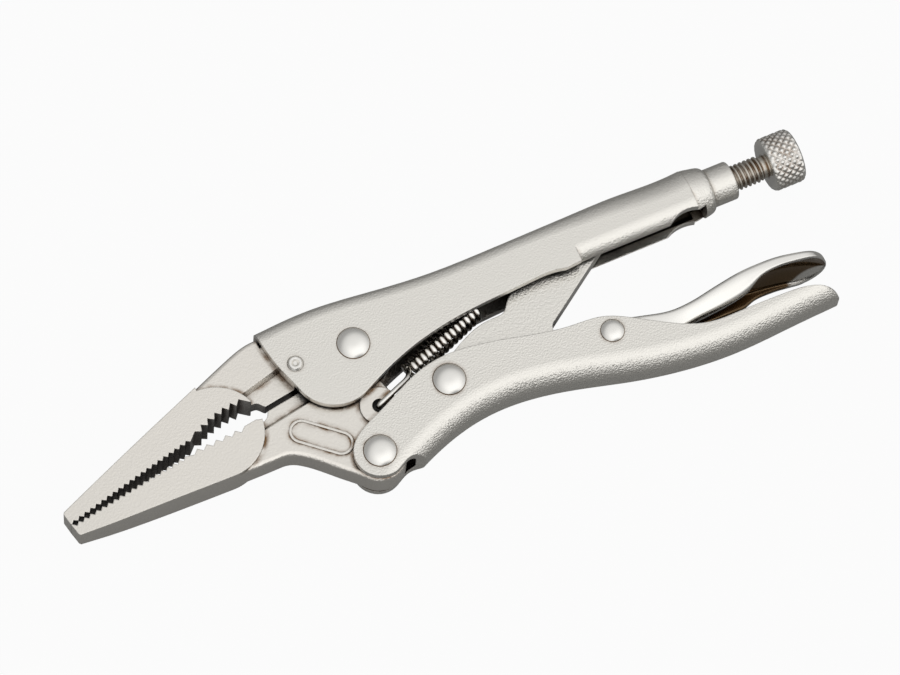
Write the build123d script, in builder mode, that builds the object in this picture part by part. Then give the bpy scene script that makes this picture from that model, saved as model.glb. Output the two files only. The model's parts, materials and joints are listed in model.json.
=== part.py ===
from build123d import *

import os
from math import cos, hypot, radians, sin, sqrt

# Long-nose locking pliers, lying on their side.
# Every outline is drawn in the side plane of the tool: X runs back from the main
# pivot towards the adjusting knob, Y runs up towards the fixed handle, and the
# plane itself is the middle of the tool's thickness.

os.makedirs("parts", exist_ok=True)

# ---------------------------------------------------------------- driving sizes
# overall reach, from the main pivot
nose_reach = 67.3          # pivot to the end of the nose
knob_reach = 101.7         # pivot to the end of the knob
crown_height = 10.8        # pivot up to the highest point of the fixed handle
belly_depth = 30.2         # pivot down to the lowest point of the moving handle

# sheet-metal handles
handle_half = 5.7          # half the width over the cheeks
sheet = 1.6                # wall of both handles
crown_round = 2.9          # corner between a cheek and the back of the fixed handle
belly_round = 4.2          # the same corner on the moving handle
front_x = -17.2            # front edge of the fixed handle at its back
curl_x = 50.0              # where its cheeks start to curl under
window_x = 70.1            # where the curled lips stop, ahead of the neck
window_end = 79.0
window_rise = 1.7
lip_round = 3.4            # outer radius of the curled lips
lip_half = 3.4             # half the slot between the lips

# forged jaws
pad_gap = 0.1              # running gap between a moving piece and a cheek
body_half = 3.4            # half thickness of the rough forging
nose_half = 4.2            # half thickness of the ground nose at its heel
tip_half = 2.75            # half thickness of the nose at its tip
land_half = 2.0            # half thickness of the machined stop lands
land_slope = 28            # degrees, between a land's side wall and its cutter
forge_round = 0.9          # rounded edge of the rough forging
tongue_half = 1.75         # half thickness of the moving jaw's tongue
tongue_gap = 0.15
tongue_radius = 6.8        # round end of the moving jaw's tongue
ear_radius = 8.0           # fork ears of the fixed jaw
tang_drop = 0.75           # top of the tang under the top of the ears
ear_gap = 0.5              # radial room round the ears
ground_round = 9.8         # heel of the ground nose faces
fine_depth = 0.68
fine_count = 21
coarse_depth = 1.1
coarse_count = 6

# rivets and pins
rivet_radius = 2.5
head_radius = 3.45
head_rise = 1.2
lever_rivet_radius = 1.6
lever_head_radius = 2.5
lever_head_rise = 0.9
rivet_fit = 0.05           # radial running clearance on a rivet
seat_fit = 0.02            # radial clearance of a set rivet in its cheeks
stake_radius = 1.65        # the pin that keys the fixed jaw
stake_rise = 0.55
stake_dimple = 0.8         # mouth of the hollow in its end

# pivots and holes in the side plane
main_pivot = (0.0, 0.0)
lower_pivot = (-4.4, -23.1)     # moving jaw to moving handle
link_pivot = (14.6, -14.7)      # toggle link to moving handle
link_end = (57.5, 3.6)          # where the link bears against the screw
lever_pivot = (49.25, -18.2)    # release lever to moving handle
stake_place = (-12.5, 0.6)
lug_place = (-0.3, -13.75)      # hole for the front hook of the spring
lug_hole = 1.45
lug_radius = 3.95
boss_radius = 5.6               # eye of the moving jaw round its lower pivot
boss_pad = 3.6                  # running pad on that eye

# adjusting screw
screw_axis = 4.0           # height of the screw above the pivot
screw_radius = 2.75
thread_gap = 0.05
tip_gap = 2.0              # the link's free end stops short of the screw
neck_radius = 4.1
neck_length = 5.3
screw_out = 7.6            # bare thread between the neck and the knob
knob_radius = 5.75
knob_length = 7.1
knob_round = 1.3           # outer edge of the knob
knob_shoulder = 0.9        # its edge towards the handle
relief_radius = 2.35       # plain neck of the screw under its knob
relief_length = 1.0
spigot_radius = 1.9
spigot_length = 4.0

# toggle link
link_half = 2.25
link_eye = 4.2
link_nose = 1.8

# release lever
lever_sheet = 1.2
lever_gap = 0.15           # running gap between the lever and a cheek
lever_half = 8.0           # half the width of its thumb pad, the widest part of the tool
lever_front = 37.5
lever_tip = 97.3
lever_tip_round = 5.0

# spring
wire_radius = 0.45
coil_radius = 1.95         # to the middle of the wire
coil_pitch = 1.35
coil_turns = 14
coil_start = (9.0, -8.3)
coil_slope = 0.4
lug_face = 4.45            # height of the front leg over the lug
anchor_place = (37.0, 2.7)
anchor_thick = 1.2
anchor_half = 1.6
anchor_root = 7.7          # where the tab leaves the handle's back
hook_gap = 0.35

# ------------------------------------------------------------------- side plane
stand_height = lever_half
pivot_x = (nose_reach - knob_reach) / 2
pivot_y = (belly_depth - crown_height) / 2
side = Plane(origin=(pivot_x, pivot_y, stand_height), x_dir=(1, 0, 0), z_dir=(0, 0, 1))
above = Plane(origin=(pivot_x, 0, stand_height), x_dir=(1, 0, 0), z_dir=(0, -1, 0))
inner_half = handle_half - sheet
neck_end = knob_reach - knob_length - screw_out
neck_start = neck_end - neck_length
tube_end = neck_start - 4.7
tang_top = ear_radius - tang_drop
shoulder_x = front_x - 0.35    # step of the fixed jaw, just ahead of the handle
pad_half = inner_half - pad_gap
tube_radius = handle_half - 0.05
tube_top = screw_axis + tube_radius
tube_floor = screw_axis - tube_radius
far = 40.0                 # reach of a cutting outline beyond the tool
deep = 20.0                # reach of a cut through the whole thickness


def across(x):
    """The plane across the tool at a distance behind the main pivot: local X is
    the tool's thickness and local Y its height."""
    return Plane(origin=(pivot_x + x, pivot_y, stand_height), x_dir=(0, 0, -1), z_dir=(1, 0, 0))


def raised(height):
    """The side plane moved out towards the upper face of the tool."""
    return side.offset(height)


def polar(centre, radius, angle):
    """The point at an angle in degrees on a circle."""
    return (centre[0] + radius * cos(radians(angle)), centre[1] + radius * sin(radians(angle)))


def write(builder, name):
    builder.part.label = name
    export_step(builder.part, f"parts/{name}.step")


def hood(stations, wall, skirt):
    """A rounded back with deep flanks, lofted along the tool.  Each station holds
    its place, the height of its crown, its half width and its corner round; a
    wall draws the whole form in."""
    with BuildPart(mode=Mode.PRIVATE) as blank:
        for x, crown, half, corner in stations:
            with BuildSketch(across(x)) as section:
                with Locations((0, (crown - wall + skirt) / 2)):
                    Rectangle(2 * (half - wall), crown - wall - skirt)
                fillet(section.vertices().sort_by(Axis.Y)[-2:], corner - wall)
        loft()
    return blank.part


# ----------------------------------------------------------------- fixed handle
# A pressed channel with flat cheeks in front; behind the link it is curled into a
# tube round the screw, and its end is swaged down to a neck tapped for the screw.
crown_stations = (
    (front_x - 0.8, crown_height - 0.55, handle_half, crown_round),
    (-12.0, crown_height - 0.15, handle_half, crown_round),
    (-5.0, crown_height, handle_half, crown_round),
    (8.0, crown_height - 1.15, handle_half, crown_round),
    (20.0, crown_height - 2.2, handle_half, crown_round),
    (32.0, crown_height - 2.3, handle_half, crown_round),
    (44.0, crown_height - 2.0, handle_half, crown_round + 0.3),
    (53.0, crown_height - 1.6, handle_half, 4.0),
    (62.0, tube_top - 0.05, handle_half, 5.1),
    (tube_end, tube_top, handle_half, 5.5),
)
handle_skirt = -16.0
lobe_centre = (-5.4, -2.5)
lobe_radius = 8.75


def horseshoe(wall, mode=Mode.ADD):
    """Across the tube: two flanks and a rounded floor, open upwards to the screw
    and beyond, drawn in by a wall."""
    corner = lip_round - wall
    half = handle_half - wall
    floor = tube_floor + wall
    with Locations((0, floor + far / 2)):
        Rectangle(2 * (half - corner), far, mode=mode)
    with Locations((0, floor + corner + far / 2)):
        Rectangle(2 * half, far, mode=mode)
    with Locations((half - corner, floor + corner), (corner - half, floor + corner)):
        Circle(corner, mode=mode)


def curled_blank(wall):
    """The fixed handle as a solid bar before its cheeks are cut out: a hooded
    bar in front, rounded underneath from the curl to the neck."""
    with BuildPart(mode=Mode.PRIVATE) as blank:
        add(hood(crown_stations, wall, handle_skirt))
        with BuildSketch(across(curl_x)):
            with Locations((0, (handle_skirt + screw_axis) / 2 - 1)):
                Rectangle(2 * handle_half + 1, screw_axis - handle_skirt + 2)
            horseshoe(wall, Mode.SUBTRACT)
        extrude(amount=tube_end - curl_x, mode=Mode.SUBTRACT)
    return blank.part


def cheek_front():
    """Front edge and lower edge of the fixed handle's cheeks, from its back to
    the curled lips."""
    front = Spline(
        (front_x - 0.3, crown_height + 2), (front_x + 0.1, 7.5), (-15.6, 0.4),
        polar(lobe_centre, lobe_radius, 196),
        tangents=[(0.02, -1), (0.28, -0.96)],
    )
    lobe = ThreePointArc(
        front @ 1, polar(lobe_centre, lobe_radius, 250), polar(lobe_centre, lobe_radius, 296)
    )
    Spline(
        lobe @ 1, (8.0, -6.2), (24.0, -2.75), (38.0, -1.75), (46.5, -2.1),
        tangents=[(0.9, 0.44), (1, -0.28)],
    )


with BuildPart() as upper_handle:
    add(curled_blank(0))
    add(curled_blank(sheet), mode=Mode.SUBTRACT)
    # funnel and tapped neck, turned about the screw
    with BuildSketch(side):
        with BuildLine():
            start = Line((tube_end, screw_axis + tube_radius - sheet), (tube_end, screw_axis + tube_radius))
            shoulder = Spline(
                start @ 1, (neck_start - 2.3, screw_axis + tube_radius - 0.35),
                (neck_start, screw_axis + neck_radius), tangents=[(1, 0), (0.35, -1)],
            )
            top = Line(shoulder @ 1, (neck_end - 0.5, screw_axis + neck_radius))
            lip = ThreePointArc(
                top @ 1, polar((neck_end - 0.5, screw_axis + neck_radius - 0.5), 0.5, 45),
                (neck_end, screw_axis + neck_radius - 0.5),
            )
            face = Line(lip @ 1, (neck_end, screw_axis + screw_radius + thread_gap))
            bore = Line(face @ 1, (neck_start, screw_axis + screw_radius + thread_gap))
            Line(bore @ 1, start @ 0)
        make_face()
    revolve(axis=Axis((pivot_x, pivot_y + screw_axis, stand_height), (1, 0, 0)))
    # cheek outline
    with BuildSketch(side):
        with BuildLine() as edge:
            cheek_front()
            step = Line(edge.line @ 1, (curl_x + 0.4, tube_floor - 0.15))
            Polyline(
                step @ 1, (curl_x + 0.4, handle_skirt - 1), (front_x - 2, handle_skirt - 1),
                (front_x - 2, crown_height + 2), (front_x - 0.3, crown_height + 2),
            )
        make_face()
    extrude(amount=deep, both=True, mode=Mode.SUBTRACT)
    # slot between the curled lips, and the window ahead of the neck
    with BuildSketch(across(curl_x - 1)):
        Rectangle(2 * lip_half, 2 * (sheet - tube_floor - 0.4))
    extrude(amount=window_end + 1 - curl_x, mode=Mode.SUBTRACT)
    with BuildSketch(side):
        with BuildLine():
            arch = ThreePointArc(
                (window_x, tube_floor), ((window_x + window_end) / 2, tube_floor + window_rise),
                (window_end, tube_floor),
            )
            Polyline(arch @ 1, (window_end, -far), (window_x, -far), arch @ 0)
        make_face()
    extrude(amount=deep, both=True, mode=Mode.SUBTRACT)

    # tab lanced from the back to anchor the spring, and the slot that it leaves
    with BuildSketch(across(anchor_place[0] - anchor_thick / 2)):
        with Locations((0, (anchor_place[1] - anchor_half + anchor_root) / 2)):
            Rectangle(2 * anchor_half, anchor_root - anchor_place[1] + anchor_half)
        with Locations((0, anchor_place[1])):
            Circle(wire_radius + hook_gap, mode=Mode.SUBTRACT)
    extrude(amount=anchor_thick)
    with BuildSketch(across(anchor_place[0] + anchor_thick / 2)):
        with Locations((0, crown_height)):
            Rectangle(2 * anchor_half, 2 * (crown_height - anchor_root + sheet))
    extrude(amount=anchor_root - anchor_place[1], mode=Mode.SUBTRACT)
    # rivet and pin holes
    with BuildSketch(side):
        with Locations(main_pivot):
            Circle(rivet_radius + seat_fit)
        with Locations(stake_place):
            Circle(stake_radius + seat_fit)
    extrude(amount=deep, both=True, mode=Mode.SUBTRACT)

write(upper_handle, "upper_handle")


# ------------------------------------------------------------------------ jaws
# The teeth of each jaw start at the nose as a fine straight row and go on as a
# coarse row, hollowed in the fixed jaw for gripping pipe.
nose_end = -nose_reach
bite = (nose_end + 0.52, -12.12)                   # where the lips of both jaws meet
bite_gap = 0.08
fixed_row = ((nose_end + 1.35, -11.5), (-37.7, -5.05))    # roots of the fixed jaw's fine teeth
moving_row = ((nose_end + 1.6, -12.9), (-39.7, -8.95))    # roots of the moving jaw's fine teeth
pipe_centre = (-25.8, -23.3)
pipe_radius = 21.9                                 # through the roots of the coarse teeth
pipe_from = 119.5
pipe_to = 90.0
moving_flat = ((-38.6, -8.75), (-25.9, -8.0))      # roots of the moving jaw's coarse teeth
stop_inner = (-7.6, -3.25)                         # stop face of the moving jaw
stop_outer = (-21.1, -5.4)
stop_gap = 1.1
taper_start = -44.0                                # where the nose begins to thin
ground_centre = (-32.8, -6.2)
obround_centre = (-13.65, -15.2)
obround_length = 8.3                               # between the centres of its round ends
obround_angle = -40.6
obround_radius = 2.55
obround_rim = 0.55
obround_rise = 0.3


def row_teeth(ends, depth, count, outward):
    """Saw teeth between two ends of a straight row of roots."""
    (x0, y0), (x1, y1) = ends
    length = hypot(x1 - x0, y1 - y0)
    across_x = -(y1 - y0) / length * outward
    across_y = (x1 - x0) / length * outward
    points = []
    for n in range(count):
        root = n / count
        tip = (n + 0.5) / count
        points.append((x0 + (x1 - x0) * root, y0 + (y1 - y0) * root))
        points.append((x0 + (x1 - x0) * tip + across_x * depth, y0 + (y1 - y0) * tip + across_y * depth))
    return points


def arc_teeth(centre, radius, start, end, depth, count):
    """Saw teeth round the inside of an arc of roots, with a root at each end."""
    points = []
    for n in range(count):
        points.append(polar(centre, radius, start + (end - start) * n / count))
        points.append(polar(centre, radius - depth, start + (end - start) * (n + 0.5) / count))
    points.append(polar(centre, radius, end))
    return points


def nose_taper():
    """Thins the nose towards its tip, on both sides."""
    for flank in (1, -1):
        with BuildSketch(above) as shaving:
            with BuildLine():
                taper = ThreePointArc(
                    (taper_start, flank * nose_half),
                    ((taper_start + nose_end) / 2, flank * (0.7 * nose_half + 0.3 * tip_half)),
                    (nose_end - 0.5, flank * tip_half),
                )
                Polyline(
                    taper @ 1, (nose_end - 0.5, flank * (nose_half + 2)),
                    (taper_start, flank * (nose_half + 2)), taper @ 0,
                )
            make_face()
        extrude(shaving.sketch, amount=far, both=True, mode=Mode.SUBTRACT)


def ground_zone():
    """The ground face of both noses: everything ahead of a round heel."""
    with Locations(ground_centre):
        Circle(ground_round)
    with Locations((ground_centre[0] - far / 2, ground_centre[1])):
        Rectangle(far, 2 * far)


def machined_lands(corners):
    """Sinks a land with sloping sides into both faces of a forging."""
    for flank in (1, -1):
        with BuildPart(mode=Mode.PRIVATE) as cutter:
            with BuildSketch(raised(flank * land_half)) as land:
                Polygon(*corners, align=None)
            extrude(land.sketch, amount=flank * (body_half - land_half + 0.5), taper=-land_slope)
        add(cutter.part, mode=Mode.SUBTRACT)


def forging(outline, rounded):
    """A rough forging over an outline, its outer edge rounded along the run of
    the outline that passes a given point."""
    with BuildPart(mode=Mode.PRIVATE) as blank:
        with BuildSketch(raised(-body_half)) as face:
            with BuildLine():
                outline()
            make_face()
        extrude(face.sketch, amount=2 * body_half)
        for flank in (1, -1):
            mark = Vector(pivot_x + rounded[0], pivot_y + rounded[1], stand_height + flank * body_half)
            fillet(blank.edges().sort_by_distance(mark)[0], forge_round)
    return blank.part


def fixed_outline():
    """The fixed jaw from its tip along the top to its ear, and back by the stop
    face, the throat and the teeth."""
    teeth = row_teeth(fixed_row, fine_depth, fine_count, -1)
    teeth += arc_teeth(pipe_centre, pipe_radius, pipe_from, pipe_to, coarse_depth, coarse_count)
    top = Polyline(bite, (nose_end, -9.6), (nose_end + 0.25, -9.2), (-33.0, 4.3))
    brow = Spline(top @ 1, (-25.0, 7.5), (-19.6, 9.15), (shoulder_x, 9.3), tangents=[(0.93, 0.37), (1, 0.02)])
    ear_start = (sqrt(ear_radius**2 - tang_top**2), tang_top)
    tang = Polyline(brow @ 1, (shoulder_x + 0.1, tang_top), ear_start)
    ear = ThreePointArc(
        tang @ 1, polar(main_pivot, ear_radius, -30), polar(main_pivot, ear_radius, 196)
    )
    stop = Line(ear @ 1, (stop_outer[0], stop_outer[1] + stop_gap))
    throat = Spline(
        stop @ 1, (-22.5, -2.95), (-23.9, -2.8), tangents=[(-0.8, 0.6), (-1, 0.1)]
    )
    Polyline(throat @ 1, *reversed(teeth), (bite[0] + 0.3, bite[1]), top @ 0)


def moving_outline():
    """The moving jaw from its tip along the bottom to its eye, up to the arc that
    clears the fork, and back by the stop face, the throat and the teeth."""
    teeth = row_teeth(moving_row, fine_depth, fine_count - 2, 1)
    teeth += row_teeth(moving_flat, coarse_depth - 0.2, coarse_count, 1)
    lip = (bite[0] + 0.02, bite[1] - bite_gap)
    under = Polyline(
        lip, (nose_end + 1.15, -14.6), (nose_end + 1.5, -14.95), (nose_end + 7.6, -15.35)
    )
    belly = Spline(under @ 1, (-46.0, -15.75), (-32.7, -16.0), (-22.6, -16.0), tangents=[(1, -0.05), (1, 0.02)])
    knee = Spline(belly @ 1, (-18.6, -17.4), (-12.6, -22.9), polar(lower_pivot, boss_radius, 222),
                  tangents=[(1, 0.02), (0.66, -0.75)])
    eye = ThreePointArc(
        knee @ 1, polar(lower_pivot, boss_radius, 270), polar(lower_pivot, boss_radius, 372)
    )
    rear = Spline(
        eye @ 1, (3.0, -17.0), (3.35, -13.0), (2.4, -8.6), tangents=[(-0.21, 0.98), (-0.4, 1)]
    )
    reach = ear_radius + ear_gap
    fork = ThreePointArc(
        rear @ 1, polar(main_pivot, reach, 245), polar(main_pivot, reach, 203)
    )
    stop = Line(fork @ 1, stop_outer)
    throat = Spline(stop @ 1, (-22.4, -6.95), (-24.3, -6.75), tangents=[(-0.35, -1), (-1, 0.5)])
    Polyline(throat @ 1, *reversed(teeth), (lip[0] + 0.28, lip[1]), under @ 0)


fixed_land = ((-25.5, -1.35), (-12.0, 2.1), (-12.0, -6.0), (-25.5, -6.0))
moving_land = ((-25.0, -8.8), (-11.9, -6.45), (-9.0, -6.2), (-9.0, -2.0), (-25.0, -4.5))

with BuildPart() as upper_jaw:
    add(forging(fixed_outline, (-25.0, 7.5)))
    # machined land beside the stop face
    machined_lands(fixed_land)
    with BuildSketch(side, mode=Mode.PRIVATE) as fixed_side:
        with BuildLine():
            fixed_outline()
        make_face()
    # ground nose, proud of the forging
    with BuildSketch(side):
        add(fixed_side.sketch_local)
        with BuildSketch(mode=Mode.INTERSECT):
            ground_zone()
    extrude(amount=nose_half, both=True)
    nose_taper()
    # tang, full width between the cheeks
    with BuildSketch(side):
        add(fixed_side.sketch_local)
        with BuildSketch(mode=Mode.INTERSECT):
            with BuildLine() as behind:
                cheek_front()
                edge_start = behind.line @ 0
                edge_end = behind.line @ 1
                Polyline(edge_end, (edge_end.X, far), (edge_start.X, far), edge_start)
            make_face()
    extrude(amount=inner_half, both=True)
    # fork for the tongue of the moving jaw
    with BuildSketch(side):
        with Locations(main_pivot):
            Circle(tongue_radius + ear_gap)
        with BuildLine():
            Polyline(
                main_pivot, polar(main_pivot, far, 200), polar(main_pivot, far, 260),
                polar(main_pivot, far, 320), polar(main_pivot, far, 20), polar(main_pivot, far, 80),
                close=True,
            )
        make_face()
    extrude(amount=tongue_half + tongue_gap, both=True, mode=Mode.SUBTRACT)
    with BuildSketch(side):
        with Locations(main_pivot):
            Circle(rivet_radius + seat_fit)
        with Locations(stake_place):
            Circle(stake_radius + seat_fit)
    extrude(amount=deep, both=True, mode=Mode.SUBTRACT)

write(upper_jaw, "upper_jaw")

with BuildPart() as lower_jaw:
    add(forging(moving_outline, (-15.0, -20.6)))
    machined_lands(moving_land)
    with BuildSketch(side, mode=Mode.PRIVATE) as moving_side:
        with BuildLine():
            moving_outline()
        make_face()
    with BuildSketch(side):
        add(moving_side.sketch_local)
        with BuildSketch(mode=Mode.INTERSECT):
            ground_zone()
    extrude(amount=nose_half, both=True)
    nose_taper()
    # running pads round the eye and the spring lug
    with BuildSketch(side):
        with Locations(lower_pivot):
            Circle(boss_pad)
        with Locations(lug_place):
            Circle(lug_radius)
        with BuildLine():
            Polyline((-2.0, -16.5), (-4.0, -21.0), (1.0, -22.0), (3.3, -13.0), close=True)
        make_face()
        with BuildSketch(mode=Mode.INTERSECT):
            add(moving_side.sketch_local)
    extrude(amount=pad_half, both=True)
    # tongue that runs in the fork of the fixed jaw
    with BuildSketch(side):
        with Locations(main_pivot):
            Circle(tongue_radius)
        with BuildLine():
            Polyline(
                polar(main_pivot, tongue_radius - 0.5, 215), polar(main_pivot, ear_radius + 2, 212),
                polar(main_pivot, ear_radius + 2, 285), polar(main_pivot, tongue_radius - 0.5, 300),
                close=True,
            )
        make_face()
    extrude(amount=tongue_half, both=True)
    # raised rim of the bare obround panel, on the upper face
    with BuildSketch(raised(body_half - obround_rise)):
        with Locations(obround_centre):
            SlotCenterToCenter(obround_length, 2 * obround_radius, rotation=obround_angle)
            SlotCenterToCenter(
                obround_length, 2 * (obround_radius - obround_rim), rotation=obround_angle,
                mode=Mode.SUBTRACT,
            )
    extrude(amount=2 * obround_rise)
    with BuildSketch(side):
        with Locations(main_pivot, lower_pivot):
            Circle(rivet_radius + rivet_fit)
        with Locations(lug_place):
            Circle(lug_hole)
    extrude(amount=deep, both=True, mode=Mode.SUBTRACT)

write(lower_jaw, "lower_jaw")


# --------------------------------------------------------------- moving handle
# A pressed channel, open towards the link.  Its cheeks carry the pivots of the
# moving jaw, the link and the lever, and run out to nothing at the back end.
heel_x = 95.6
heel_corner = 4.0
belly_line = (
    (3.9, -27.4), (9.0, -25.3), (16.0, -23.3), (24.0, -22.5), (40.0, -24.8), (50.0, -27.4),
    (60.0, -29.3), (72.0, -belly_depth), (86.0, -29.5), (heel_x, -29.0),
)
eye_lobe = 5.3             # cheek round the moving jaw's pivot


def belly_points(inset):
    """The line of the back, moved in by an inset square to itself."""
    line = ((-10.0, -36.5), *belly_line, (heel_x + 14, -28.2))
    points = []
    for n in range(len(line)):
        before = line[max(n - 1, 0)]
        after = line[min(n + 1, len(line) - 1)]
        run = after[0] - before[0]
        climb = after[1] - before[1]
        stride = hypot(run, climb)
        points.append((line[n][0] - inset * climb / stride, line[n][1] + inset * run / stride))
    return points


def belly_blank(wall):
    """The moving handle as a solid bar, drawn in by a wall and open upwards."""
    half = handle_half - wall
    with BuildPart(mode=Mode.PRIVATE) as blank:
        with BuildSketch(raised(-half)):
            with BuildLine():
                back = Spline(*belly_points(wall))
                start_of = back @ 0
                end_of = back @ 1
                Polyline(end_of, (end_of.X, far), (start_of.X, far), start_of)
            make_face()
        extrude(amount=2 * half)
        floor = blank.faces().sort_by(Axis.Y)[0]
        fillet(floor.edges().filter_by(Axis.Z, reverse=True), belly_round - wall)
    return blank.part


with BuildPart() as lower_handle:
    add(belly_blank(0))
    add(belly_blank(sheet), mode=Mode.SUBTRACT)
    # cheek outline
    with BuildSketch(side):
        with BuildLine():
            lobe = ThreePointArc(
                polar(lower_pivot, eye_lobe, 270), polar(lower_pivot, eye_lobe, 195),
                polar(lower_pivot, eye_lobe, 134),
            )
            rail = Spline(
                lobe @ 1, (0.0, -15.0), (10.0, -10.6), (17.5, -9.6), (22.0, -10.0), (30.0, -11.6),
                (42.0, -13.9), (48.5, -14.55), (54.0, -17.1), (60.0, -20.8), (68.0, -24.2),
                (76.0, -24.5), (84.0, -24.6), (88.6, -24.85), (92.0, -25.7), (heel_x - 1.3, -27.0),
                (heel_x - 0.1, -28.4),
                tangents=[(0.72, 0.69), (0.5, -1)],
            )
            notch = Spline(
                lobe @ 0, (-1.5, -27.5), (1.6, -26.4), (3.9, -27.4), (3.9, -33.0),
                tangents=[(1, 0), (0, -1)],
            )
            Polyline(notch @ 1, (heel_x, -33.0), (heel_x, -28.4), rail @ 1)
        make_face()
    extrude(amount=deep, both=True, mode=Mode.INTERSECT)
    # rounded end, seen from above
    with BuildSketch(above):
        with Locations((heel_x - heel_corner, 0)):
            Rectangle(2 * heel_corner, 3 * handle_half)
        with Locations((heel_x - 2 * heel_corner, 0)):
            Rectangle(2 * heel_corner, 2 * handle_half, mode=Mode.SUBTRACT)
        with Locations(
            (heel_x - heel_corner, handle_half - heel_corner),
            (heel_x - heel_corner, heel_corner - handle_half),
        ):
            Circle(heel_corner, mode=Mode.SUBTRACT)
        with Locations((heel_x - heel_corner, 0)):
            Rectangle(2 * heel_corner, 2 * (handle_half - heel_corner), mode=Mode.SUBTRACT)
    extrude(amount=2 * far, both=True, mode=Mode.SUBTRACT)
    with BuildSketch(side):
        with Locations(lower_pivot, link_pivot):
            Circle(rivet_radius + seat_fit)
        with Locations(lever_pivot):
            Circle(lever_rivet_radius + seat_fit)
    extrude(amount=deep, both=True, mode=Mode.SUBTRACT)

write(lower_handle, "lower_handle")


# ----------------------------------------------------------------- toggle link
with BuildPart() as toggle_link:
    with BuildSketch(side):
        with BuildLine():
            eye = ThreePointArc(
                polar(link_pivot, link_eye, 280), polar(link_pivot, link_eye, 190),
                polar(link_pivot, link_eye, 100),
            )
            shoulder = Spline(
                eye @ 1, (18.6, -8.5), (25.1, -5.6), (30.1, -5.1),
                tangents=[(0.98, 0.17), (1, 0)],
            )
            back = Spline(
                shoulder @ 1, (32.7, -3.3), (45.0, 2.2), polar(link_end, link_nose, 110),
                tangents=[(1, 0), (0.94, 0.34)],
            )
            nose = ThreePointArc(
                back @ 1, polar(link_end, link_nose, 10), polar(link_end, link_nose, -55.5)
            )
            slope = Line(nose @ 1, (39.9, -10.65))
            heel = Spline(
                slope @ 1, (39.15, -11.7), (39.1, -12.6), (38.5, -16.2),
                tangents=[(-0.82, -0.56), (-0.3, -1)],
            )
            Spline(heel @ 1, (30.0, -17.0), (20.0, -18.4), eye @ 0, tangents=[(-1, 0), (-0.98, -0.17)])
        make_face()
    extrude(amount=link_half, both=True)
    # collars that keep the link in the middle of the channel
    with BuildSketch(side):
        with Locations(link_pivot):
            Circle(link_eye)
    extrude(amount=pad_half, both=True)
    with BuildSketch(side):
        with Locations(link_pivot):
            Circle(rivet_radius + rivet_fit)
    extrude(amount=deep, both=True, mode=Mode.SUBTRACT)

write(toggle_link, "toggle_link")


# --------------------------------------------------------------- release lever
# Pressed sheet: a hooded arm between the cheeks that flares into a thumb pad.
lever_arm = inner_half - lever_gap
pad_spread = lever_half + 1      # the pad before its sides are trimmed
lever_stations = (
    (lever_front - 1, -17.9, lever_arm, 1.8),
    (44.0, -16.2, lever_arm, 1.8),
    (49.5, -15.0, lever_arm, 1.8),
    (56.0, -16.6, lever_arm, 1.9),
    (62.0, -17.95, lever_arm, 2.0),
    (67.0, -18.0, lever_arm + 0.1, 2.3),
    (74.0, -17.2, 5.3, 3.2),
    (80.0, -16.15, 7.0, 5.0),
    (85.0, -15.85, pad_spread, 6.6),
    (90.0, -16.5, pad_spread, 6.8),
    (94.0, -17.5, pad_spread, 6.8),
    (lever_tip + 1.2, -19.2, pad_spread, 6.8),
)
lever_skirt = -26.0

with BuildPart() as release_lever:
    add(hood(lever_stations, 0, lever_skirt))
    add(hood(lever_stations, lever_sheet, lever_skirt - lever_sheet), mode=Mode.SUBTRACT)
    # lower edge of the flanks and of the pad
    with BuildSketch(side):
        with BuildLine():
            skirt_edge = Spline(
                (lever_front, -19.0), (41.0, -19.6), (46.0, -21.0), (54.0, -22.6), (60.0, -23.2),
                (66.0, -22.5), (70.0, -22.35), (74.0, -21.9), (78.5, -21.15), (81.0, -20.4),
                (84.0, -19.65), (88.0, -19.3), (92.0, -19.3), (95.7, -19.8), (lever_tip + 0.2, -20.3),
            )
            Polyline(
                skirt_edge @ 1, (lever_tip + 0.2, -10.0), (lever_front, -10.0), skirt_edge @ 0
            )
        make_face()
    extrude(amount=deep, both=True, mode=Mode.INTERSECT)
    # rounded tip, seen from above
    with BuildSketch(above):
        with Locations(((lever_front + lever_tip - lever_tip_round) / 2 - 1, 0)):
            Rectangle(lever_tip - lever_tip_round - lever_front + 2, 2 * lever_half)
        with Locations((lever_tip - lever_tip_round, 0)):
            Rectangle(2 * lever_tip_round, 2 * (lever_half - lever_tip_round))
        with Locations(
            (lever_tip - lever_tip_round, lever_half - lever_tip_round),
            (lever_tip - lever_tip_round, lever_tip_round - lever_half),
        ):
            Circle(lever_tip_round)
    extrude(amount=2 * far, both=True, mode=Mode.INTERSECT)
    with BuildSketch(side):
        with Locations(lever_pivot):
            Circle(lever_rivet_radius + rivet_fit)
    extrude(amount=deep, both=True, mode=Mode.SUBTRACT)

write(release_lever, "release_lever")


# ------------------------------------------------------ adjusting screw and knob
screw_start = link_end[0] + link_nose + tip_gap
knob_start = knob_reach - knob_length
screw_line = Axis((pivot_x, pivot_y + screw_axis, stand_height), (1, 0, 0))

with BuildPart() as adjusting_screw:
    with BuildSketch(side):
        with BuildLine():
            Polyline(
                (screw_start, screw_axis), (screw_start, screw_axis + screw_radius - 0.8),
                (screw_start + 0.8, screw_axis + screw_radius),
                (knob_start - relief_length - 0.4, screw_axis + screw_radius),
                (knob_start - relief_length, screw_axis + relief_radius),
                (knob_start, screw_axis + relief_radius),
                (knob_start, screw_axis + spigot_radius),
                (knob_start + spigot_length, screw_axis + spigot_radius),
                (knob_start + spigot_length, screw_axis), close=True,
            )
        make_face()
    revolve(axis=screw_line)

write(adjusting_screw, "adjusting_screw")

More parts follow.
